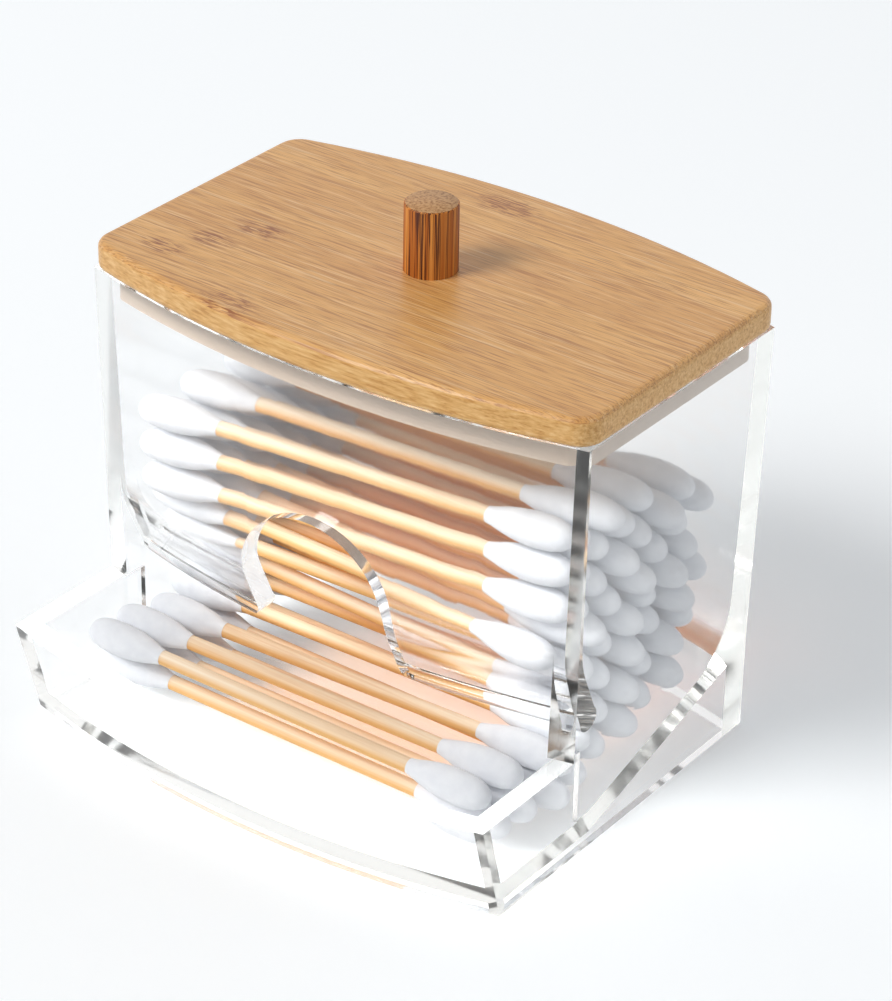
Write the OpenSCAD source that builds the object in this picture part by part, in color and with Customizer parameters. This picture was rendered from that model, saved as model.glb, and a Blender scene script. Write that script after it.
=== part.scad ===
/* [Hopper] */
// Endwise room beside the swabs, between the side walls at the seam
swab_room = 4.5; // [3:0.25:20]
// Depth of the hopper at its corners, at the top rim
hopper_d = 46; // [44:0.5:60]
// Height of the hopper above the seam with the tray moulding
hopper_h = 51; // [46:0.5:80]
// How far the front and back walls bow out at their middle
bow = 6; // [3:0.25:9]
// How far each wall leans in from the top rim to the seam
draft = 0.85; // [0.3:0.05:1.5]
// Thickness of the walls at the top rim
wall_top = 3.2; // [2.4:0.1:4]
// Thickness of the walls at the seam
wall_foot = 3.9; // [3.2:0.1:5]

/* [Leaning front panel] */
// Height above the seam at which the front wall starts to lean in
lean_h = 14.4; // [12:0.2:20]
// How far the front wall leans in at its foot
lean_in = 4; // [2:0.25:5]
// Gap between the seam and the foot of the front wall
foot_gap = 2.4; // [1:0.2:4]
// Inner radius of the bend where the front wall starts to lean
bend_r = 14; // [6:1:20]

/* [Finger cut-out] */
// Width of the cut-out
cutout_w = 26; // [16:0.5:34]
// Height of the cut-out above the foot of the front wall
cutout_h = 24; // [18:0.5:30]
// Radius of the flared corners at the foot of the cut-out
cutout_flare_r = 3; // [1:0.25:4]

/* [Tray] */
// Height of the tray moulding, from the resting edge to the seam
tray_h = 16.5; // [15:0.25:22]
// How far the tray's front wall stands ahead of the hopper's front
tray_reach = 21.6; // [20:0.25:35]
// How far the tray's front wall flares out from its foot to its rim
flare = 4.3; // [0:0.25:6]
// Thickness of the tray's side walls
tray_wall = 3.1; // [2.4:0.1:3.8]
// Thickness of the tray's front wall
tray_front_wall = 3.6; // [2.4:0.1:5]
// Thickness of the sheet that forms the floor and the slope
sheet_t = 3.2; // [2:0.1:3.6]
// Height of the tray floor's top face
floor_z = 4.2; // [4:0.1:6]
// Length of the slope and its blend, back to the hopper's back wall
slope_run = 34.5; // [30:0.5:38]
// Angle of the slope
slope_deg = 17; // [12:0.5:18]
// Radius of the blend from the slope up into the back wall
blend_r = 12; // [8:0.5:14]

/* [Lid] */
// Thickness of the board
lid_t = 4.6; // [3:0.1:8]
// How far the board stands out past the hopper's rim
lid_over = 0.3; // [0:0.1:2]
// Radius of the board's corners
lid_corner_r = 4; // [1.5:0.25:8]
// Radius of the board's eased edges
lid_ease_r = 1.1; // [0.4:0.1:1.4]
// Depth of the plug under the board
plug_h = 4.25; // [2:0.25:8]
// Gap between the plug and the hopper's walls at the rim
plug_gap = 0.5; // [0.35:0.05:1]
// Radius of the plug's corners
plug_corner_r = 2; // [0.5:0.25:5]

/* [Knob] */
// Diameter of the dowel
knob_d = 8; // [6:0.5:16]
// Height of the dowel above the board
knob_h = 10.6; // [6:0.2:20]
// Depth of the blind hole that the dowel is glued into
knob_seat = 3; // [1.5:0.25:5]
// Chamfer round the dowel's top
knob_chamfer = 0.3; // [0.1:0.1:1]
// Glue gap round the dowel in its hole
knob_gap = 0.04; // [0.02:0.01:0.1]

/* [Swabs] */
// Length of a swab over its cotton tips
swab_l = 74; // [70:0.5:75]
// Diameter of the wooden stick
stick_d = 2.3; // [1.8:0.1:2.8]
// Diameter of a cotton tip at its widest
tip_d = 5.2; // [4.4:0.1:5.3]
// Length of a cotton tip
tip_l = 14; // [11:0.5:17]
// Length of stick that is wrapped in each tip
stick_in_tip = 10; // [7:0.5:10.5]
// Distance between swabs that lie side by side
swab_pitch = 5.5; // [5.4:0.05:6]
// Distance between layers of swabs
layer_pitch = 5.4; // [5.35:0.05:6]
// Clearance between the lowest swabs and the sheet that they lie on
rest_gap = 0.2; // [0.1:0.05:0.4]
// Gap between a stick and the cotton round it
stick_gap = 0.03; // [0.02:0.01:0.1]
// Least clearance between a tip and the side wall
end_gap = 0.8; // [0.4:0.1:1.2]

/* [Hidden] */
LAYERS = 8;
TRAY_LAYERS = 2;

// Facets of the long bows, and of small round shapes
BOW_FN = 360;
ROUND_FN = 96;
// Steps in the bend of the front wall
BEND_STEPS = 6;
// Overlap that carries a cut clear of the face it opens
EPS = 0.05;
// A size larger than the whole object, for cuts that run through
BIG = 400;
// A tip's end radius as a share of its radius, and its widest place as a share of its length
END_SHARE = 0.9;
WIDE_SHARE = 0.54;

// Each layer: place of its first swab in pitches from the foot of the slope, number of swabs,
// yaw of the first swab and turn from each swab to the next, in degrees
HOPPER_ROWS = [
    [0.35, 6, 0, 0.2], [0.6, 6, 1.5, -0.3], [1.2, 6, -2, 0.6], [1.2, 6, 2, -0.5],
    [1.0, 7, -1.5, 0.4], [1.3, 6, 3.5, -0.6], [1.6, 4, 4, -0.8], [1.9, 2, 4, -1]
];
TRAY_ROWS = [[0.9, 3, 0.5, 0], [1.0, 3, 2.6, -1.2]];
// Share of the endwise play that the swabs of a layer use, in turn
PLAY_SHARE = [-0.8, 0.5, -0.6, 0.8, -0.5, -0.9, -0.4];

// Heights
seam_z = tray_h;
top_z = seam_z + hopper_h;
lean_z = seam_z + lean_h;
panel_foot_z = seam_z + foot_gap;

// The hopper's width, and the long bow: its radius, and how far its centre lies from the hopper's middle
half_w = (swab_l + swab_room) / 2 + wall_foot + draft;
bow_r = (half_w * half_w + bow * bow) / (2 * bow);
bow_c = bow_r - hopper_d / 2 - bow;

// Middle of the whole object's depth, as the front of the tray and the back of the board set it
front_y = bow_c - (bow_r - draft) - tray_reach;
back_y = hopper_d / 2 + bow + lid_over;
mid_y = (front_y + back_y) / 2;

// How far the outer and inner faces have moved in from the top rim's outer face, at height z
function outer_in(z) = draft * (top_z - z) / hopper_h;
function inner_in(z) = wall_top + (draft + wall_foot - wall_top) * (top_z - z) / hopper_h;

// Half width of the tray moulding, and its radius round the back bow's centre
base_half_w = half_w - draft;
base_bow_r = bow_r - draft;
// Inner faces of the side walls at the seam, which the tray moulding carries on behind the step
inner_half_w = base_half_w - wall_foot;
// The leaning panel's outer radius at its foot, and the line of the step below it
panel_foot_r = base_bow_r - lean_in;
step_y = bow_c - sqrt(pow(panel_foot_r, 2) - pow(inner_half_w, 2));
// Its height from the middle of its rounded foot, the lean of its outer face, and the top of the bend
lean_rise = lean_z - panel_foot_z - wall_foot / 2;
outer_lean = atan((bow_r - outer_in(lean_z) - panel_foot_r) / lean_rise);
outer_draft = atan(draft / hopper_h);
bend_top_z = lean_z + (bend_r + wall_foot) * tan((outer_lean - outer_draft) / 2) * cos(outer_draft);

// Slope and blend: heights, the back wall's inner radius at the top of the blend, and the radius of the slope's foot
slope_tan = tan(slope_deg);
blend_z = floor_z + (slope_run - blend_r) * slope_tan + blend_r / cos(slope_deg);
slope_end_z = floor_z + slope_run * slope_tan;
under_drop = sheet_t / cos(slope_deg);
back_r = bow_r - inner_in(blend_z);
seat_r = back_r - slope_run;

// Where a swab's tips meet the foot of the slope, and the angle of the slope across them
tip_x = swab_l / 2 - tip_l / 3;
seat_y = sqrt(seat_r * seat_r - tip_x * tip_x) - bow_c;
seat_deg = atan(slope_tan * (seat_y + bow_c) / seat_r);

// Cotton tip: its radius, its rounded end and its long barrel-shaped side
tip_r = tip_d / 2;
tip_end_r = tip_r * END_SHARE;
tip_wide_at = tip_l * WIDE_SHARE;
tip_side_r = pow(tip_l - tip_end_r - tip_wide_at, 2) / (2 * (tip_r - tip_end_r));
stick_l = swab_l - 2 * (tip_l - stick_in_tip);
// Endwise play that is left beside a swab
play = swab_room / 2 - end_gap;

// Inner radius of the front wall at height z, round the front bow's centre
function inner_front(z) =
    z > lean_z ? bow_r - inner_in(z)
    : panel_foot_r - wall_foot
        + (bow_r - inner_in(lean_z) - panel_foot_r + wall_foot) * max(z - panel_foot_z - wall_foot / 2, 0) / lean_rise;
// Radius round the back bow's centre that keeps a swab at height z off the back wall and its blend by a gap
function back_limit(z, gap) =
    z > blend_z ? back_r - gap
    : back_r - blend_r
        + max((blend_r - gap) * sin(slope_deg), sqrt(max(pow(blend_r - gap, 2) - pow(blend_z - z, 2), 0)));

function reversed(list) = [for (i = [len(list) - 1:-1:0]) list[i]];

module at_frame() {
    translate([0, -mid_y, 0]) children();
}

// Four-walled form with bowed front and back, whose faces lie in0 and in1 inside the rim at its two ends;
// below open_z it runs on through the front
module bowed_form(in0, in1, z0, z1, open_z = -BIG) {
    intersection() {
        rotate([90, 0, 0])
            linear_extrude(height = BIG, center = true)
                polygon([
                    [in0 - half_w, z0], [half_w - in0, z0],
                    [half_w - in1, z1], [in1 - half_w, z1]
                ]);
        union() {
            translate([0, bow_c, z0])
                cylinder(h = z1 - z0, r1 = bow_r - in0, r2 = bow_r - in1, $fn = BOW_FN);
            if (open_z > z0)
                translate([-2 * half_w, -BIG, z0]) cube([4 * half_w, BIG, open_z - z0]);
        }
        translate([0, -bow_c, z0])
            cylinder(h = z1 - z0, r1 = bow_r - in0, r2 = bow_r - in1, $fn = BOW_FN);
    }
}

// Blend between the slope and the back wall, as a ring round the back bow's centre
module back_blend(z0) {
    translate([0, -bow_c, 0])
        rotate_extrude($fn = BOW_FN)
            difference() {
                translate([back_r - blend_r, z0]) square([blend_r + wall_top / 2, blend_z - z0]);
                translate([back_r - blend_r, blend_z]) circle(r = blend_r, $fn = ROUND_FN * 2);
            }
}

// Arc of radius r in place of the corner at [x, z] between two lines, at angles a and b from upright
function bend_arc(x, z, r, a, b) =
    let (t = r * tan((a - b) / 2))
    [for (i = [0:BEND_STEPS])
        let (c = a + (b - a) * i / BEND_STEPS)
        [x - t * sin(a) + r * (cos(c) - cos(a)), z - t * cos(a) - r * (sin(c) - sin(a))]];

// Lower part of the front wall, which bends and leans in to a rounded foot
module leaning_panel() {
    foot_r = wall_foot / 2;
    z0 = panel_foot_z + foot_r;
    inner_r = bow_r - inner_in(lean_z);
    inner_lean = atan((inner_r - panel_foot_r + wall_foot) / lean_rise);
    inner_draft = atan((draft + wall_foot - wall_top) / hopper_h);
    inner_bend = bend_arc(inner_r, lean_z, bend_r, inner_lean, inner_draft);
    intersection() {
        translate([0, bow_c, 0])
            rotate_extrude($fn = BOW_FN)
                union() {
                    polygon(concat(
                        [[panel_foot_r - wall_foot, z0], [panel_foot_r, z0]],
                        bend_arc(bow_r - outer_in(lean_z), lean_z, bend_r + wall_foot, outer_lean, outer_draft),
                        [[bow_r - inner_in(bend_top_z), bend_top_z]],
                        reversed(inner_bend)
                    ));
                    translate([panel_foot_r - foot_r, z0]) circle(r = foot_r, $fn = ROUND_FN);
                }
        translate([-inner_half_w - wall_foot / 2, -BIG / 2, 0])
            cube([2 * inner_half_w + wall_foot, BIG / 2, top_z]);
    }
}

// Outline of the finger cut-out, seen from the front
module cutout_outline() {
    r = cutout_w / 2;
    f = cutout_flare_r;
    translate([0, panel_foot_z + cutout_h - r]) circle(r = r, $fn = ROUND_FN * 2);
    translate([-r, panel_foot_z - foot_gap]) square([cutout_w, cutout_h - r + foot_gap]);
    difference() {
        translate([-r - f, panel_foot_z - foot_gap]) square([cutout_w + 2 * f, f + foot_gap]);
        for (s = [-1, 1])
            translate([s * (r + f), panel_foot_z + f]) circle(r = f, $fn = ROUND_FN);
    }
}

module hopper() {
    color([0.93, 0.96, 0.95, 0.35])
        at_frame()
            difference() {
                union() {
                    difference() {
                        bowed_form(outer_in(seam_z), 0, seam_z, top_z);
                        difference() {
                            bowed_form(inner_in(seam_z - EPS), inner_in(top_z + EPS), seam_z - EPS, top_z + EPS,
                                       open_z = bend_top_z);
                            back_blend(seam_z - 2 * EPS);
                        }
                    }
                    leaning_panel();
                }
                rotate([90, 0, 0])
                    linear_extrude(height = BIG)
                        cutout_outline();
            }
}

// Plan of the tray moulding between heights z0 and z1, with its faces moved in by side, front and back amounts
module tray_form(side_in, front_in, back_in, z0, z1) {
    front_r0 = base_bow_r - flare * (1 - z0 / seam_z) - front_in;
    front_r1 = base_bow_r - flare * (1 - z1 / seam_z) - front_in;
    intersection() {
        translate([side_in - base_half_w, -BIG / 2, z0])
            cube([2 * (base_half_w - side_in), BIG, z1 - z0]);
        translate([0, bow_c - tray_reach, z0])
            cylinder(h = z1 - z0, r1 = front_r0, r2 = front_r1, $fn = BOW_FN);
        translate([0, -bow_c, z0])
            cylinder(h = z1 - z0, r = base_bow_r - back_in, $fn = BOW_FN);
    }
}

// Everything above the floor, the slope and the blend, as a ring round the back bow's centre
module above_sheet() {
    r = back_r;
    inside = seat_r - BIG / 4;
    translate([0, -bow_c, 0])
        rotate_extrude($fn = BOW_FN)
            difference() {
                polygon([
                    [inside, floor_z], [seat_r, floor_z], [r, slope_end_z],
                    [r, seam_z + EPS], [inside, seam_z + EPS]
                ]);
                difference() {
                    translate([r - blend_r, floor_z]) square([2 * blend_r, blend_z - floor_z]);
                    translate([r - blend_r, blend_z]) circle(r = blend_r, $fn = ROUND_FN * 2);
                    polygon([
                        [r - blend_r, floor_z], [r - blend_r, blend_z],
                        [r - blend_r * (1 - sin(slope_deg)), blend_z - blend_r * cos(slope_deg)]
                    ]);
                }
            }
}

// Everything below the sheet, down through the open underside
module below_sheet() {
    inside = seat_r - BIG / 4;
    knee = sheet_t * tan(slope_deg / 2);
    translate([0, -bow_c, 0])
        rotate_extrude($fn = BOW_FN)
            polygon([
                [inside, -EPS], [back_r, -EPS], [back_r, slope_end_z - under_drop],
                [seat_r + knee, floor_z - sheet_t], [inside, floor_z - sheet_t]
            ]);
}

module tray_base() {
    color([0.93, 0.96, 0.95, 0.35])
        at_frame()
            difference() {
                tray_form(0, 0, 0, 0, seam_z);
                intersection() {
                    above_sheet();
                    tray_form(tray_wall, tray_front_wall, wall_foot, EPS, seam_z + EPS);
                    union() {
                        translate([-BIG / 2, -BIG, 0]) cube([BIG, BIG + step_y, BIG]);
                        translate([-inner_half_w, -BIG / 2, 0]) cube([2 * inner_half_w, BIG, BIG]);
                    }
                }
                intersection() {
                    below_sheet();
                    tray_form(tray_wall, tray_front_wall, wall_foot, -EPS, seam_z);
                }
            }
}

// Outline of a board with bowed front and back and rounded corners, moved in by an inset, as points
function board_quarter(hw, r, c, rc) =
    let (
        cx = hw - rc,
        cy = sqrt(pow(r - rc, 2) - cx * cx) - c,
        a = asin(cx / (r - rc))
    )
    concat(
        [for (i = [0:9]) [r * sin(a * i / 10), r * cos(a * i / 10) - c]],
        [for (i = [0:8]) let (t = a + (90 - a) * i / 8) [cx + rc * sin(t), cy + rc * cos(t)]]
    );
function board_outline(hw, r, c, rc) =
    let (q = board_quarter(hw, r, c, rc))
    concat(
        q,
        [for (p = reversed(q)) [p[0], -p[1]]],
        [for (p = q) if (p[0] > 0) [-p[0], -p[1]]],
        [for (p = reversed(q)) if (p[0] > 0) [-p[0], p[1]]]
    );

// The board, with its upper and lower edges eased to a round
module lid_board() {
    e = lid_ease_r;
    hull()
        for (a = [0:22.5:90]) {
            inset = e * (1 - cos(a));
            rise = e * (1 - sin(a));
            translate([0, 0, rise])
                linear_extrude(height = lid_t - 2 * rise)
                    polygon(board_outline(half_w + lid_over - inset, bow_r + lid_over - inset, bow_c,
                                          lid_corner_r - inset));
        }
}

module lid() {
    plug_in = wall_top + plug_gap;
    color([0.82, 0.64, 0.42])
        at_frame()
            translate([0, 0, top_z])
                difference() {
                    union() {
                        lid_board();
                        translate([0, 0, -plug_h])
                            linear_extrude(height = plug_h + lid_t / 2)
                                polygon(board_outline(half_w - plug_in, bow_r - plug_in, bow_c, plug_corner_r));
                    }
                    translate([0, 0, lid_t - knob_seat])
                        cylinder(h = knob_seat + EPS, d = knob_d + 2 * knob_gap, $fn = ROUND_FN);
                }
}

module knob() {
    color([0.66, 0.38, 0.18])
        at_frame()
            translate([0, 0, top_z + lid_t - knob_seat])
                rotate_extrude($fn = ROUND_FN)
                    polygon([
                        [0, 0], [knob_d / 2, 0], [knob_d / 2, knob_seat + knob_h - knob_chamfer],
                        [knob_d / 2 - knob_chamfer, knob_seat + knob_h], [0, knob_seat + knob_h]
                    ]);
}

// A swab lies along X with its middle at the origin
module swab_stick() {
    rotate([0, 90, 0]) cylinder(h = stick_l, d = stick_d, center = true, $fn = 48);
}

// Cotton wrapped round the end of the stick: a barrel with a rounded end and a bore for the stick
module cotton_tip() {
    bore_r = stick_d / 2 + stick_gap;
    translate([swab_l / 2 - tip_l, 0, 0])
        rotate([0, 90, 0])
            rotate_extrude($fn = 48)
                difference() {
                    union() {
                        intersection() {
                            square([tip_r, tip_l - tip_end_r]);
                            translate([tip_r - tip_side_r, tip_wide_at]) circle(r = tip_side_r, $fn = BOW_FN);
                        }
                        intersection() {
                            translate([0, tip_l - tip_end_r]) circle(r = tip_end_r, $fn = 48);
                            translate([0, tip_l - tip_end_r]) square(tip_end_r);
                        }
                    }
                    translate([0, -EPS]) square([bore_r, stick_in_tip + EPS]);
                }
}

module swab_part(part) {
    if (part == "sticks") {
        color([0.90, 0.76, 0.58]) swab_stick();
    } else {
        color([0.97, 0.97, 0.98]) {
            cotton_tip();
            mirror([1, 0, 0]) cotton_tip();
        }
    }
}

// Yaw of swab i of a row, and its distance from the foot of the slope, as far apart as its turn asks for
function yaw_of(row, i) = row[2] + i * row[3];
function place_of(row, i) =
    row[0] * swab_pitch + i * (swab_pitch + swab_l / 2 * abs(sin(row[3])))
        / cos(max(abs(row[2]), abs(yaw_of(row, row[1] - 1))));

// True if a swab's end at depth y and height z is clear of the front and back walls
function clear_of_walls(y, z) =
    let (gap = tip_r + rest_gap, x = tip_x + play)
    norm([x, y + bow_c]) < back_limit(z, gap)
    && (z < panel_foot_z - gap || norm([x, bow_c - y]) < inner_front(z) - gap / cos(outer_lean));
// True if a swab that lies in the hopper at [v, z] of the sloped plane, at that yaw, has room at both ends
function has_room(v, z, yaw) =
    let (ends = [for (s = [-1, 1])
        let (e = v + s * tip_x * sin(yaw))
        clear_of_walls(seat_y + e * cos(seat_deg) - z * sin(seat_deg),
                       floor_z + e * sin(seat_deg) + z * cos(seat_deg))])
    ends[0] && ends[1];
// True if a swab that lies in the tray, v ahead of the slope at height z, has room behind the tray's front wall
function has_tray_room(v, z, yaw) =
    norm([tip_x + play, bow_c - tray_reach - seat_y + v + tip_x * abs(sin(yaw))])
        < base_bow_r - flare * (1 - z / seam_z) - tray_front_wall - tip_r - rest_gap;

// Swab i of a row, at v in the row's plane, slid endwise by its share of the play
module placed_swab(row, i, v, part) {
    translate([play * PLAY_SHARE[(i + row[1]) % len(PLAY_SHARE)], v, 0])
        rotate([0, 0, yaw_of(row, i)])
            swab_part(part);
}

// A layer in the hopper, parallel to the slope, with as many swabs as have room
module hopper_layer(k, part) {
    row = HOPPER_ROWS[k - 1];
    z = tip_r + rest_gap + (k - 1) * layer_pitch;
    at_frame()
        translate([0, seat_y, floor_z])
            rotate([seat_deg, 0, 0])
                translate([0, 0, z])
                    for (i = [0:row[1] - 1])
                        if (has_room(place_of(row, i), z, yaw_of(row, i)))
                            placed_swab(row, i, place_of(row, i), part);
}

// A layer in the tray, parallel to its floor, with as many swabs as have room
module tray_layer(k, part) {
    row = TRAY_ROWS[k - 1];
    z = floor_z + tip_r + rest_gap + (k - 1) * layer_pitch;
    at_frame()
        translate([0, seat_y, z])
            for (i = [0:row[1] - 1])
                if (has_tray_room(place_of(row, i), z, yaw_of(row, i)))
                    placed_swab(row, i, -place_of(row, i), part);
}

hopper();
tray_base();
lid();
knob();
for (k = [1:LAYERS]) {
    hopper_layer(k, "sticks");
    hopper_layer(k, "tips");
}
for (k = [1:TRAY_LAYERS]) {
    tray_layer(k, "sticks");
    tray_layer(k, "tips");
}
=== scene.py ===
import math

import bmesh
import bpy
import numpy as np
from mathutils import Matrix, Vector, noise


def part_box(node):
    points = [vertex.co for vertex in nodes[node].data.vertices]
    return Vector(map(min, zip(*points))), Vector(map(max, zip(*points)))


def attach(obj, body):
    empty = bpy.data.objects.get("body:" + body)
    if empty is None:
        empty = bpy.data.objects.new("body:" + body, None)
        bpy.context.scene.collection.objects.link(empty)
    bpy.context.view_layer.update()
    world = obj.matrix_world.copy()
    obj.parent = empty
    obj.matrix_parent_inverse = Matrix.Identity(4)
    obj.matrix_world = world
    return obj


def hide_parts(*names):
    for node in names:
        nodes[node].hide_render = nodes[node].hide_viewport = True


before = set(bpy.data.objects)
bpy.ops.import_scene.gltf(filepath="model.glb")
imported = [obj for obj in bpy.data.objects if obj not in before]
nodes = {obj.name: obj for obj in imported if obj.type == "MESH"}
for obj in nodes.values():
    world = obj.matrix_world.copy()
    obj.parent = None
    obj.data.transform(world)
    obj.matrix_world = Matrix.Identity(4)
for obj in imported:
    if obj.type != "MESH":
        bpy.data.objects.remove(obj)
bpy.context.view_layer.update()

MM = 0.001
scene = bpy.context.scene
HOPPER_LAYERS = [f"hopper_layer_{k}" for k in range(1, 9)]
TRAY_LAYERS = [f"tray_layer_{k}" for k in range(1, 3)]
LAYERS = HOPPER_LAYERS + TRAY_LAYERS
hopper_low, hopper_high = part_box("hopper")


# Materials

def new_material(name):
    """A material with its node tree, its Principled shader and its output."""
    mat = bpy.data.materials.new(name)
    mat.use_nodes = True
    tree = mat.node_tree
    return mat, tree, tree.nodes["Principled BSDF"], tree.nodes["Material Output"]


def place_pattern(tree, scale):
    """Object coordinates, stretched so that a pattern follows the grain."""
    coords = tree.nodes.new("ShaderNodeTexCoord")
    mapping = tree.nodes.new("ShaderNodeMapping")
    mapping.inputs["Scale"].default_value = scale
    tree.links.new(coords.outputs["Object"], mapping.inputs["Vector"])
    return mapping.outputs["Vector"]


def add_noise(tree, vector, scale=1.0, detail=3.0, rough=0.5, distortion=0.0):
    node = tree.nodes.new("ShaderNodeTexNoise")
    node.inputs["Scale"].default_value = scale
    node.inputs["Detail"].default_value = detail
    node.inputs["Roughness"].default_value = rough
    node.inputs["Distortion"].default_value = distortion
    tree.links.new(vector, node.inputs["Vector"])
    return node.outputs["Fac"]


def add_ramp(tree, factor, stops):
    node = tree.nodes.new("ShaderNodeValToRGB")
    ramp = node.color_ramp
    ramp.elements[0].position, ramp.elements[0].color = stops[0][0], (*stops[0][1], 1)
    ramp.elements[1].position, ramp.elements[1].color = stops[-1][0], (*stops[-1][1], 1)
    for at, colour in stops[1:-1]:
        ramp.elements.new(at).color = (*colour, 1)
    tree.links.new(factor, node.inputs["Fac"])
    return node.outputs["Color"]


def add_math(tree, operation, a, b=None, clamp=False):
    node = tree.nodes.new("ShaderNodeMath")
    node.operation = operation
    node.use_clamp = clamp
    for socket, value in zip(node.inputs, (a, b)):
        if value is None:
            continue
        if isinstance(value, (int, float)):
            socket.default_value = value
        else:
            tree.links.new(value, socket)
    return node.outputs["Value"]


def add_mix(tree, factor, a, b):
    node = tree.nodes.new("ShaderNodeMix")
    node.data_type = "RGBA"
    for socket, value in ((node.inputs["Factor"], factor), (node.inputs[6], a), (node.inputs[7], b)):
        if isinstance(value, (int, float)):
            socket.default_value = value
        elif isinstance(value, tuple):
            socket.default_value = (*value, 1)
        else:
            tree.links.new(value, socket)
    return node.outputs[2]


def add_bump(tree, shader, height, strength, distance):
    node = tree.nodes.new("ShaderNodeBump")
    node.inputs["Strength"].default_value = strength
    node.inputs["Distance"].default_value = distance
    tree.links.new(height, node.inputs["Height"])
    tree.links.new(node.outputs["Normal"], shader.inputs["Normal"])


def let_light_through(tree, shader, out, colour):
    """Lets the light of the lamps pass the surface, tinted, and shows the shader to all else."""
    path = tree.nodes.new("ShaderNodeLightPath")
    through = tree.nodes.new("ShaderNodeBsdfTransparent")
    through.inputs["Color"].default_value = (*colour, 1)
    mix = tree.nodes.new("ShaderNodeMixShader")
    tree.links.new(path.outputs["Is Shadow Ray"], mix.inputs["Fac"])
    tree.links.new(shader.outputs["BSDF"], mix.inputs[1])
    tree.links.new(through.outputs["BSDF"], mix.inputs[2])
    tree.links.new(mix.outputs["Shader"], out.inputs["Surface"])


def clear_plastic():
    """Clear moulded plastic, soft enough that its edges look white, and light passes to what is inside."""
    mat, tree, shader, out = new_material("clear_plastic")
    shader.inputs["Base Color"].default_value = (1.0, 1.0, 1.0, 1)
    shader.inputs["Roughness"].default_value = 0.05
    shader.inputs["IOR"].default_value = 1.5
    shader.inputs["Transmission Weight"].default_value = 1.0
    let_light_through(tree, shader, out, (0.935, 0.945, 0.95))
    absorb = tree.nodes.new("ShaderNodeVolumeAbsorption")
    absorb.inputs["Color"].default_value = (0.94, 0.95, 0.82, 1)
    absorb.inputs["Density"].default_value = 3.0
    tree.links.new(absorb.outputs["Volume"], out.inputs["Volume"])
    return mat


def near_spot(tree, place, reach):
    """1 at a place on the piece, falling to 0 at its reach along each axis."""
    coords = tree.nodes.new("ShaderNodeTexCoord")
    away = tree.nodes.new("ShaderNodeVectorMath")
    away.operation = "SUBTRACT"
    away.inputs[1].default_value = place
    tree.links.new(coords.outputs["Object"], away.inputs[0])
    share = tree.nodes.new("ShaderNodeVectorMath")
    share.operation = "DIVIDE"
    share.inputs[1].default_value = reach
    tree.links.new(away.outputs["Vector"], share.inputs[0])
    length = tree.nodes.new("ShaderNodeVectorMath")
    length.operation = "LENGTH"
    tree.links.new(share.outputs["Vector"], length.inputs[0])
    return add_math(tree, "SUBTRACT", 1.0, length.outputs["Value"], True)


def facing_up(tree, least):
    """1 where the surface faces up more than least."""
    normal = tree.nodes.new("ShaderNodeNewGeometry")
    split = tree.nodes.new("ShaderNodeSeparateXYZ")
    tree.links.new(normal.outputs["Normal"], split.inputs["Vector"])
    return add_math(tree, "GREATER_THAN", split.outputs["Z"], least)


# Knuckles of the bamboo in the board: place and reach of each
KNUCKLES = [
    ((-34.6 * MM, -8.3 * MM, 72 * MM), (5 * MM, 2.6 * MM, 9 * MM)),
    ((-30.5 * MM, -2.0 * MM, 72 * MM), (5 * MM, 3.0 * MM, 9 * MM)),
    ((-26.5 * MM, 4.5 * MM, 72 * MM), (6 * MM, 3.0 * MM, 9 * MM)),
    ((-15.5 * MM, -16.5 * MM, 71 * MM), (6 * MM, 4.0 * MM, 9 * MM)),
    ((-3.5 * MM, 33.5 * MM, 72 * MM), (7 * MM, 3.5 * MM, 9 * MM))]
STRIP_W = 6.2 * MM


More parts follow.
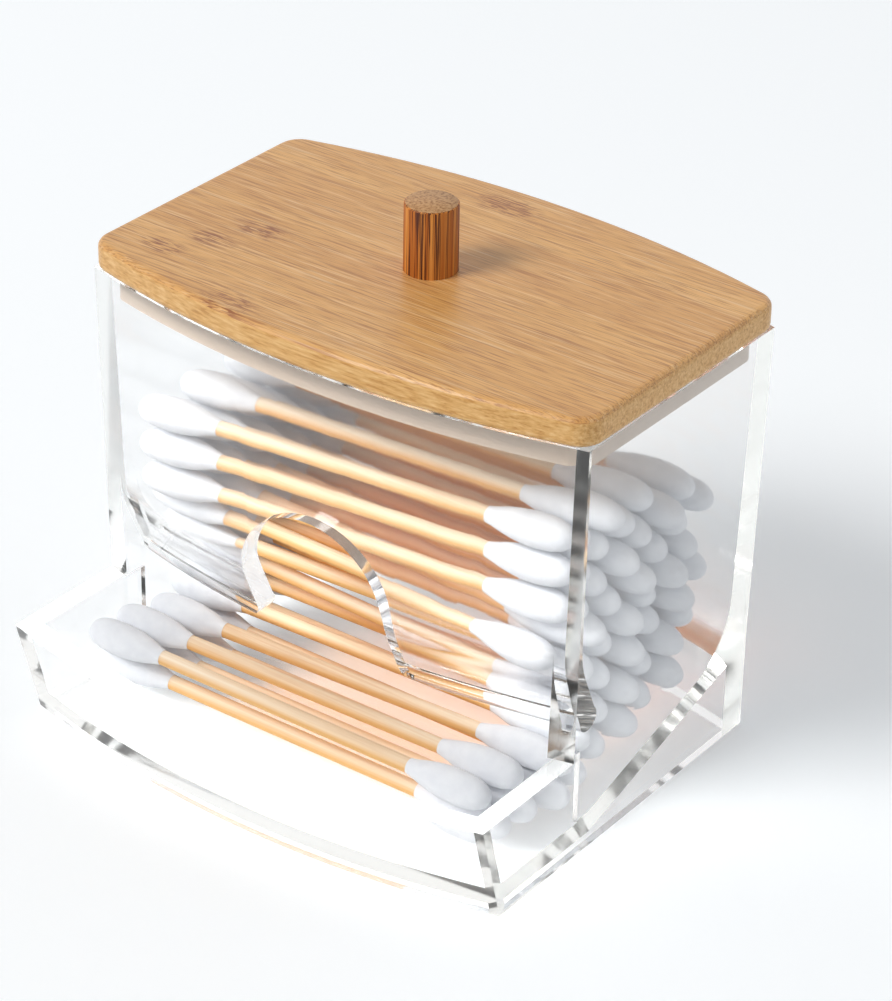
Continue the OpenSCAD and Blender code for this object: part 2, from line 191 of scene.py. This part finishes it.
def lid_bamboo():
    """Laminated bamboo board: strips along X, hair-fine streaks, browner knuckles and golden edges."""
    mat, tree, shader, out = new_material("lid_bamboo")
    coords = tree.nodes.new("ShaderNodeTexCoord")
    split = tree.nodes.new("ShaderNodeSeparateXYZ")
    tree.links.new(coords.outputs["Object"], split.inputs["Vector"])
    strip = add_math(tree, "FLOOR", add_math(tree, "DIVIDE", split.outputs["Y"], STRIP_W))
    tone = tree.nodes.new("ShaderNodeTexWhiteNoise")
    tone.noise_dimensions = "1D"
    tree.links.new(strip, tone.inputs["W"])
    shift = tree.nodes.new("ShaderNodeCombineXYZ")
    tree.links.new(strip, shift.inputs["X"])
    slid = tree.nodes.new("ShaderNodeVectorMath")
    slid.operation = "ADD"
    tree.links.new(coords.outputs["Object"], slid.inputs[0])
    tree.links.new(shift.outputs["Vector"], slid.inputs[1])

    def streaks(across, along, detail, rough, distortion=0.0):
        mapping = tree.nodes.new("ShaderNodeMapping")
        mapping.inputs["Scale"].default_value = (along, across, across)
        tree.links.new(slid.outputs["Vector"], mapping.inputs["Vector"])
        return add_noise(tree, mapping.outputs["Vector"], 1.0, detail, rough, distortion)

    knuckle = None
    for place, reach in KNUCKLES:
        spot = near_spot(tree, place, reach)
        knuckle = spot if knuckle is None else add_math(tree, "MAXIMUM", knuckle, spot)
    fans = add_ramp(tree, add_noise(tree, place_pattern(tree, (330, 3300, 900)), 1.0, 2, 0.5, 0.6), [
        (0.46, (0, 0, 0)), (0.60, (1, 1, 1))])
    wavy = add_math(tree, "MULTIPLY", add_math(tree, "MULTIPLY", knuckle, 2.2, True), fans)
    base = add_ramp(tree, streaks(380, 16, 3, 0.5), [
        (0.25, (0.64, 0.310, 0.090)), (0.50, (0.755, 0.405, 0.130)), (0.75, (0.84, 0.480, 0.175))])
    base = add_mix(tree, add_math(tree, "MULTIPLY", tone.outputs["Value"], 0.6), base, (0.64, 0.310, 0.095))
    fine, coarse = streaks(5200, 150, 2, 0.6, 0.2), streaks(2300, 60, 3, 0.6, 0.2)
    fine_hairs = add_ramp(tree, fine, [(0.50, (0, 0, 0)), (0.64, (1, 1, 1))])
    coarse_hairs = add_ramp(tree, coarse, [(0.54, (0, 0, 0)), (0.66, (1, 1, 1))])
    hairs = add_math(tree, "ADD", fine, coarse)
    colour = add_mix(tree, add_math(tree, "MULTIPLY", fine_hairs, 0.85), base, (0.46, 0.200, 0.060))
    colour = add_mix(tree, add_math(tree, "MULTIPLY", coarse_hairs, 0.70), colour, (0.37, 0.140, 0.035))
    pale = add_ramp(tree, streaks(3100, 80, 2, 0.5), [(0.56, (0, 0, 0)), (0.70, (0.7, 0.7, 0.7))])
    colour = add_mix(tree, pale, colour, (0.85, 0.56, 0.285))
    colour = add_mix(tree, add_math(tree, "MULTIPLY", wavy, 0.95), colour, (0.30, 0.095, 0.025))
    specks = add_noise(tree, place_pattern(tree, (240, 2400, 2400)), 1.0, 3, 0.6)
    edge = add_ramp(tree, specks, [
        (0.34, (0.56, 0.265, 0.065)), (0.45, (0.69, 0.370, 0.110)),
        (0.58, (0.78, 0.455, 0.165)), (0.70, (0.85, 0.54, 0.23))])
    surface = add_mix(tree, facing_up(tree, 0.55), edge, colour)
    under = add_math(tree, "LESS_THAN", split.outputs["Z"], hopper_high.z + 0.05 * MM)
    surface = add_mix(tree, under, surface, (0.65, 0.52, 0.41))
    tree.links.new(surface, shader.inputs["Base Color"])
    shader.inputs["Roughness"].default_value = 0.34
    add_bump(tree, shader, hairs, 0.30, 0.0001)
    return mat


def knob_bamboo():
    """Darker bamboo dowel: sharp dark fibres along Z and a stippled end grain on top."""
    mat, tree, shader, out = new_material("knob_bamboo")
    broad = add_noise(tree, place_pattern(tree, (900, 900, 14)), 1.0, 2, 0.5)
    fibres = add_noise(tree, place_pattern(tree, (2900, 2900, 30)), 1.0, 3, 0.65)
    side = add_ramp(tree, broad, [
        (0.36, (0.40, 0.105, 0.012)), (0.50, (0.56, 0.185, 0.028)), (0.66, (0.72, 0.280, 0.055))])
    dark = add_ramp(tree, fibres, [(0.39, (1, 1, 1)), (0.45, (0.7, 0.7, 0.7)), (0.48, (0, 0, 0))])
    side = add_mix(tree, dark, side, (0.055, 0.010, 0.003))
    pores = add_noise(tree, place_pattern(tree, (2200, 2200, 2200)), 1.0, 2, 0.5)
    top = add_ramp(tree, pores, [
        (0.34, (0.30, 0.14, 0.055)), (0.46, (0.50, 0.265, 0.115)), (0.62, (0.60, 0.35, 0.17))])
    tree.links.new(add_mix(tree, facing_up(tree, 0.8), side, top), shader.inputs["Base Color"])
    shader.inputs["Roughness"].default_value = 0.48
    shader.inputs["Specular IOR Level"].default_value = 0.25
    add_bump(tree, shader, fibres, 0.4, 0.0001)
    return mat


def swab_wood():
    """Pale raw wood of the sticks: light comes through it orange, and a painted orange shade darkens the
    faces that turn sideways and down.
    """
    mat, tree, shader, out = new_material("swab_wood")
    grain = add_noise(tree, place_pattern(tree, (35, 2200, 2200)), 1.0, 3, 0.6)
    between = add_noise(tree, place_pattern(tree, (6, 170, 170)), 1.0, 1, 0.5)
    grain_part = add_math(tree, "MULTIPLY", grain, 0.45)
    mixed = add_math(tree, "ADD", grain_part, add_math(tree, "MULTIPLY", between, 0.55))
    top = add_ramp(tree, mixed, [
        (0.34, (0.76, 0.52, 0.32)), (0.47, (0.85, 0.66, 0.46)), (0.62, (0.91, 0.77, 0.60))])
    normal = tree.nodes.new("ShaderNodeNewGeometry")
    split = tree.nodes.new("ShaderNodeSeparateXYZ")
    tree.links.new(normal.outputs["Normal"], split.inputs["Vector"])
    # Painted shade: faces that turn sideways and down are mixed towards deep orange (0.80, 0.43, 0.12),
    # standing in for the shade between the sticks
    under = add_ramp(tree, split.outputs["Z"], [(0.0, (1, 1, 1)), (0.75, (0, 0, 0))])
    colour = add_mix(tree, add_math(tree, "MULTIPLY", under, 0.85), top, (0.80, 0.43, 0.12))
    tree.links.new(colour, shader.inputs["Base Color"])
    shader.inputs["Roughness"].default_value = 0.6
    shader.inputs["Specular IOR Level"].default_value = 0.3
    add_bump(tree, shader, grain, 0.3, 0.0001)
    let_light_through(tree, shader, out, (0.80, 0.52, 0.22))
    return mat


def cotton():
    """Wound white cotton: matt, soft, with fine fibres that run round the tip."""
    mat, tree, shader, out = new_material("cotton")
    fibres = add_noise(tree, place_pattern(tree, (2600, 900, 900)), 1.0, 5, 0.7)
    lumps = add_noise(tree, place_pattern(tree, (420, 420, 420)), 1.0, 3, 0.5)
    colour = add_ramp(tree, lumps, [(0.3, (0.77, 0.79, 0.835)), (0.7, (0.83, 0.85, 0.885))])
    tree.links.new(colour, shader.inputs["Base Color"])
    shader.inputs["Roughness"].default_value = 0.95
    shader.inputs["Specular IOR Level"].default_value = 0.15
    shader.inputs["Sheen Weight"].default_value = 0.1
    shader.inputs["Sheen Roughness"].default_value = 0.6
    mixed = add_math(tree, "ADD", add_math(tree, "MULTIPLY", fibres, 0.4), lumps)
    add_bump(tree, shader, mixed, 0.5, 0.0004)
    return mat


# Clear body

# The long bows: how far they stand out, how far the walls lean in, and the axes that they turn about
BOW, DRAFT, SEAM_Z = 6.0 * MM, 0.85 * MM, 16.5 * MM
tray_low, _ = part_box("tray_base")
BOW_R = (hopper_high.x ** 2 + BOW ** 2) / (2 * BOW)
FRONT_AXIS = Vector((0, hopper_low.y + BOW_R))
BACK_AXIS = Vector((0, hopper_high.y - BOW_R))
TRAY_AXIS = Vector((0, tray_low.y + BOW_R - DRAFT))
# Finger cut-out: its radius and centre height, and its flared feet
ARCH_R, ARCH_Z, FLARE_R, FLARE_Z = 13.0 * MM, 29.9 * MM, 3.0 * MM, 21.9 * MM
# Width of the broken edges, the angle from which an edge is broken, and the angle up to which facets join
EDGE, SHARP_ANGLE, FLAT_ANGLE = 0.3 * MM, math.radians(25), math.radians(0.4)


def face_up(face):
    """How a face lies: the axis that it bends round, its sign and tilt, or the cut-out's line, or neither."""
    n, c = face.normal, face.calc_center_median()
    flat = n.xy
    if hopper_low.y < c.y < 0 and c.z > SEAM_Z and abs(n.y) < 0.02 and abs(c.x) < ARCH_R + FLARE_R + EDGE:
        if c.z > ARCH_Z:
            return "cut-out", Vector((0, ARCH_Z)), -1, 0.0
        if c.z < FLARE_Z:
            return "cut-out", Vector((math.copysign(ARCH_R + FLARE_R, c.x), FLARE_Z)), 1, 0.0
        return None
    if flat.length < 0.02:
        return None
    if c.y < hopper_low.y - 3 * MM:
        axis = TRAY_AXIS
    else:
        axis = FRONT_AXIS if c.y < 0 and c.z > SEAM_Z else BACK_AXIS
    out = (c.xy - axis).normalized()
    if abs(flat.normalized().cross(out)) > 0.03:
        return None
    sign = 1 if flat.dot(out) > 0 else -1
    return "bow", axis, sign, math.atan2(n.z, flat.length)


def corner_normal(face, vert, lies):
    """The true surface's normal at a face's corner, with its tilt halfway to the next facets'."""
    kind, axis, sign, tilt = lies[face]
    if kind == "cut-out":
        out = (vert.co.xz - axis).normalized() * sign
        return Vector((out.x, 0, out.y))
    tilts = [tilt]
    for other in vert.link_faces:
        beside = lies.get(other)
        same = beside and beside[0] == kind and beside[2] == sign
        if same and abs(beside[3] - tilt) < math.radians(14):
            tilts.append(beside[3])
    tilt = (min(tilts) + max(tilts)) / 2
    out = (vert.co.xy - axis).normalized() * (sign * math.cos(tilt))
    return Vector((out.x, out.y, math.sin(tilt)))


def smooth_normals(bm, worn):
    """One normal for every corner: exact on bowed and flat faces, turned from one to the next on edges."""
    lies = {f: face_up(f) for f in bm.faces if f not in worn}
    main = {}
    for face, lie in lies.items():
        for vert in face.verts:
            main[face, vert] = corner_normal(face, vert, lies) if lie else face.normal.copy()
    normals = []
    for face in bm.faces:
        for vert in face.verts:
            if face in worn:
                near = [main[f, vert] for f in vert.link_faces if f not in worn]
                if near:
                    normals.append(max(near, key=face.normal.dot))
                else:
                    total = sum((f.normal * f.calc_area() for f in vert.link_faces), Vector())
                    normals.append(total.normalized())
            else:
                normals.append(main[face, vert])
    return normals


def bonded_body():
    """The hopper and the tray moulding bonded into one clear body, with its edges broken."""
    halves = []
    for name in ("hopper", "tray_base"):
        bm = bmesh.new()
        bm.from_mesh(nodes[name].data)
        bmesh.ops.remove_doubles(bm, verts=bm.verts, dist=1e-6)
        bmesh.ops.dissolve_limit(bm, angle_limit=FLAT_ANGLE, verts=bm.verts, edges=bm.edges)
        mesh = bpy.data.meshes.new(name + "_half")
        bm.to_mesh(mesh)
        bm.free()
        half = bpy.data.objects.new(name + "_half", mesh)
        scene.collection.objects.link(half)
        halves.append(half)
    join = halves[0].modifiers.new("bond", "BOOLEAN")
    join.operation = "UNION"
    join.solver = "EXACT"
    join.object = halves[1]
    graph = bpy.context.evaluated_depsgraph_get()
    mesh = bpy.data.meshes.new_from_object(halves[0].evaluated_get(graph))
    mesh.name = "clear_body"
    for half in halves:
        bpy.data.objects.remove(half)
    bm = bmesh.new()
    bm.from_mesh(mesh)
    bmesh.ops.remove_doubles(bm, verts=bm.verts, dist=2e-6)
    bmesh.ops.dissolve_limit(bm, angle_limit=FLAT_ANGLE, verts=bm.verts, edges=bm.edges)
    sharp = [e for e in bm.edges if e.is_manifold and e.calc_face_angle() > SHARP_ANGLE]
    made = bmesh.ops.bevel(bm, geom=sharp, offset=EDGE, offset_type="OFFSET", affect="EDGES", segments=3,
                           profile=0.5, clamp_overlap=True, material=-1)
    bm.normal_update()
    worn = set(made["faces"])
    bm.faces.index_update()
    normals = smooth_normals(bm, worn)
    bm.to_mesh(mesh)
    bm.free()
    for face in mesh.polygons:
        face.use_smooth = True
    mesh.normals_split_custom_set(normals)
    piece = bpy.data.objects.new("clear_body", mesh)
    scene.collection.objects.link(piece)
    return piece


# Cotton tips

def tip_places(node):
    """Each cotton tip of a CAD node: the middle of its open end, the way it points and its length."""
    bm = bmesh.new()
    bm.from_mesh(node.data)
    bmesh.ops.remove_doubles(bm, verts=bm.verts, dist=1e-6)
    places, seen = [], set()
    for first in bm.verts:
        if first in seen:
            continue
        island, waiting = [], [first]
        seen.add(first)
        while waiting:
            v = waiting.pop()
            island.append(v.co.copy())
            for edge in v.link_edges:
                other = edge.other_vert(v)
                if other not in seen:
                    seen.add(other)
                    waiting.append(other)
        points = np.array(island)
        middle = points.mean(axis=0)
        axis = np.linalg.svd(points - middle, full_matrices=False)[2][0]
        if axis[0] * middle[0] < 0:
            axis = -axis
        along = (points - middle) @ axis
        start = middle + axis * along.min()
        places.append((Vector(start), Vector(axis), float(along.max() - along.min())))
    bm.free()
    return places


# Widest radius of a cotton tip, and its outline: distance from the open end and radius, as shares
TIP_RADIUS = 2.6 * MM
TIP_OUTLINE = [
    (0.0, 0.46), (0.03, 0.485), (0.07, 0.53), (0.12, 0.60), (0.18, 0.69), (0.25, 0.78), (0.33, 0.865),
    (0.43, 0.94), (0.54, 0.985), (0.64, 0.985), (0.73, 0.955), (0.80, 0.91), (0.86, 0.83), (0.91, 0.72),
    (0.95, 0.57), (0.98, 0.38), (0.995, 0.19), (1.0, 0.0)]


def wind_tip(bm, start, axis, length, seed):
    """Spins one tip's outline about its axis and makes it a little uneven."""
    side = axis.orthogonal().normalized()
    chain = [bm.verts.new(start + axis * (s * length) + side * (r * TIP_RADIUS)) for s, r in TIP_OUTLINE]
    edges = [bm.edges.new(pair) for pair in zip(chain, chain[1:])]
    bmesh.ops.spin(bm, geom=chain + edges, cent=start, axis=axis, angle=2 * math.pi, steps=32, use_merge=True)
    verts = list(dict.fromkeys(v for f in bm.faces if f.index == -1 for v in f.verts))
    bmesh.ops.remove_doubles(bm, verts=verts, dist=1e-6)
    for v in [v for v in verts if v.is_valid]:
        along = (v.co - start).dot(axis)
        out = v.co - start - axis * along
        if out.length < 1e-7:
            continue
        lump = noise.noise(Vector((along * 260, 0, 0)) + out * 420 + Vector((seed * 7.3, seed * 3.1, 0)))
        v.co += out * (0.045 * lump)
    bm.faces.index_update()


def cotton_layer(layer):
    """All cotton tips of one layer, in the places of its CAD node."""
    node = nodes[layer + "_tips"]
    bm = bmesh.new()
    for seed, (start, axis, length) in enumerate(tip_places(node)):
        wind_tip(bm, start, axis, length, seed + 11 * LAYERS.index(layer))
    bmesh.ops.recalc_face_normals(bm, faces=bm.faces)
    mesh = bpy.data.meshes.new(layer + "_cotton")
    bm.to_mesh(mesh)
    bm.free()
    for face in mesh.polygons:
        face.use_smooth = True
    piece = bpy.data.objects.new(layer + "_cotton", mesh)
    scene.collection.objects.link(piece)
    return piece


# Sticks and knob

def rounded_copy(name):
    """A CAD node's mesh, merged and shaded round, with its rims kept sharp."""
    bm = bmesh.new()
    bm.from_mesh(nodes[name].data)
    bmesh.ops.remove_doubles(bm, verts=bm.verts, dist=1e-6)
    bmesh.ops.recalc_face_normals(bm, faces=bm.faces)
    for edge in bm.edges:
        edge.smooth = edge.is_manifold and edge.calc_face_angle() < math.radians(50)
    mesh = bpy.data.meshes.new(name + "_round")
    bm.to_mesh(mesh)
    bm.free()
    for face in mesh.polygons:
        face.use_smooth = True
    piece = bpy.data.objects.new(name + "_round", mesh)
    scene.collection.objects.link(piece)
    return piece


# Putting it together

plastic = clear_plastic()
looks = {"hopper": plastic, "tray_base": plastic, "lid": lid_bamboo(), "knob": knob_bamboo()}
wood, white = swab_wood(), cotton()
for layer in LAYERS:
    looks[layer + "_sticks"] = wood
for name, look in looks.items():
    nodes[name].data.materials.clear()
    nodes[name].data.materials.append(look)
body = bonded_body()
body.data.materials.clear()
body.data.materials.append(plastic)
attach(body, "holder")
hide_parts("hopper", "tray_base")
for name in [layer + "_sticks" for layer in LAYERS] + ["knob"]:
    piece = rounded_copy(name)
    piece.data.materials.append(looks[name])
    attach(piece, "lid" if name == "knob" else "holder")
    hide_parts(name)
for layer in LAYERS:
    piece = cotton_layer(layer)
    piece.data.materials.append(white)
    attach(piece, "holder")
    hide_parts(layer + "_tips")


# Floor, light and camera

def is_seen(tree):
    """1 for what is seen, straight, mirrored or through the plastic, and 0 for what only gives light."""
    path = tree.nodes.new("ShaderNodeLightPath")
    seen = add_math(tree, "ADD", path.outputs["Is Camera Ray"], path.outputs["Is Glossy Ray"], True)
    return add_math(tree, "ADD", seen, path.outputs["Is Transmission Ray"], True)


def lay_floor():
    """A large white floor. What is seen of it is lifted to white, and the object's shadow stays."""
    bm = bmesh.new()
    bmesh.ops.create_grid(bm, x_segments=1, y_segments=1, size=6.0)
    mesh = bpy.data.meshes.new("floor")
    bm.to_mesh(mesh)
    bm.free()
    floor = bpy.data.objects.new("floor", mesh)
    floor.location.z = -0.00005
    scene.collection.objects.link(floor)
    mat, tree, shader, out = new_material("floor_white")
    shader.inputs["Base Color"].default_value = (0.865, 0.885, 0.90, 1)
    shader.inputs["Roughness"].default_value = 0.8
    shader.inputs["Specular IOR Level"].default_value = 0.1
    shader.inputs["Emission Color"].default_value = (0.98, 0.99, 1.0, 1)
    tree.links.new(add_math(tree, "MULTIPLY", is_seen(tree), 0.22), shader.inputs["Emission Strength"])
    mat.cycles.emission_sampling = "NONE"
    mesh.materials.append(mat)


def hang_light(name, place, aim, size, power, colour=(1, 1, 1)):
    data = bpy.data.lights.new(name, "AREA")
    data.shape = "RECTANGLE"
    data.size, data.size_y = size
    data.energy = power
    data.color = colour
    lamp = bpy.data.objects.new(name, data)
    lamp.location = place
    lamp.rotation_euler = (Vector(aim) - Vector(place)).to_track_quat("-Z", "Y").to_euler()
    scene.collection.objects.link(lamp)


def light_room():
    """White surroundings, dimmer as light above and in front than at the right and behind, and a lamp."""
    world = bpy.data.worlds.new("studio")
    scene.world = world
    world.use_nodes = True
    tree = world.node_tree
    tree.nodes.clear()
    out = tree.nodes.new("ShaderNodeOutputWorld")
    dim = tree.nodes.new("ShaderNodeBackground")
    dim.inputs["Color"].default_value = (0.93, 0.965, 1.0, 1)
    ray = tree.nodes.new("ShaderNodeNewGeometry")
    slope = tree.nodes.new("ShaderNodeVectorMath")
    slope.operation = "DOT_PRODUCT"
    slope.inputs[1].default_value = (-0.12, -0.33, 0.26)
    tree.links.new(ray.outputs["Normal"], slope.inputs[0])
    tree.links.new(add_math(tree, "ADD", slope.outputs["Value"], 0.60), dim.inputs["Strength"])
    white = tree.nodes.new("ShaderNodeBackground")
    white.inputs["Color"].default_value = (0.985, 0.99, 1.0, 1)
    white.inputs["Strength"].default_value = 1.0
    mix = tree.nodes.new("ShaderNodeMixShader")
    tree.links.new(is_seen(tree), mix.inputs["Fac"])
    tree.links.new(dim.outputs["Background"], mix.inputs[1])
    tree.links.new(white.outputs["Background"], mix.inputs[2])
    tree.links.new(mix.outputs["Shader"], out.inputs["Surface"])
    hang_light("key", (-1.10, -1.88, 2.10), (0, 0, 0.05), (1.1, 1.1), 61.0, (1.0, 0.985, 0.965))


def place_camera():
    """The photograph's view: its direction, roll, distance and lens."""
    azimuth, height, roll = math.radians(36.302), math.radians(30.304), math.radians(1.104)
    target, distance = Vector((3.50, 10.225, 34.78)) * MM, 534.92 * MM
    focal_px, photo_px = 3614.93, 1001
    level = Vector((math.sin(azimuth), -math.cos(azimuth), 0))
    back = level * math.cos(height) + Vector((0, 0, math.sin(height)))
    right = Vector((0, 0, 1)).cross(back).normalized()
    up = back.cross(right)
    right, up = right * math.cos(roll) + up * math.sin(roll), up * math.cos(roll) - right * math.sin(roll)
    data = bpy.data.cameras.new("camera")
    data.sensor_width = 36.0
    data.lens = focal_px * data.sensor_width / photo_px
    data.clip_start = 0.01
    camera = bpy.data.objects.new("camera", data)
    turned = Matrix((right, up, back)).transposed().to_4x4()
    camera.matrix_world = Matrix.Translation(target + back * distance) @ turned
    scene.collection.objects.link(camera)
    scene.camera = camera


lay_floor()
light_room()
place_camera()
scene.view_settings.view_transform = "Standard"
scene.cycles.max_bounces = 20
scene.cycles.transmission_bounces = 20
scene.cycles.transparent_max_bounces = 16
scene.cycles.glossy_bounces = 20
scene.cycles.diffuse_bounces = 4
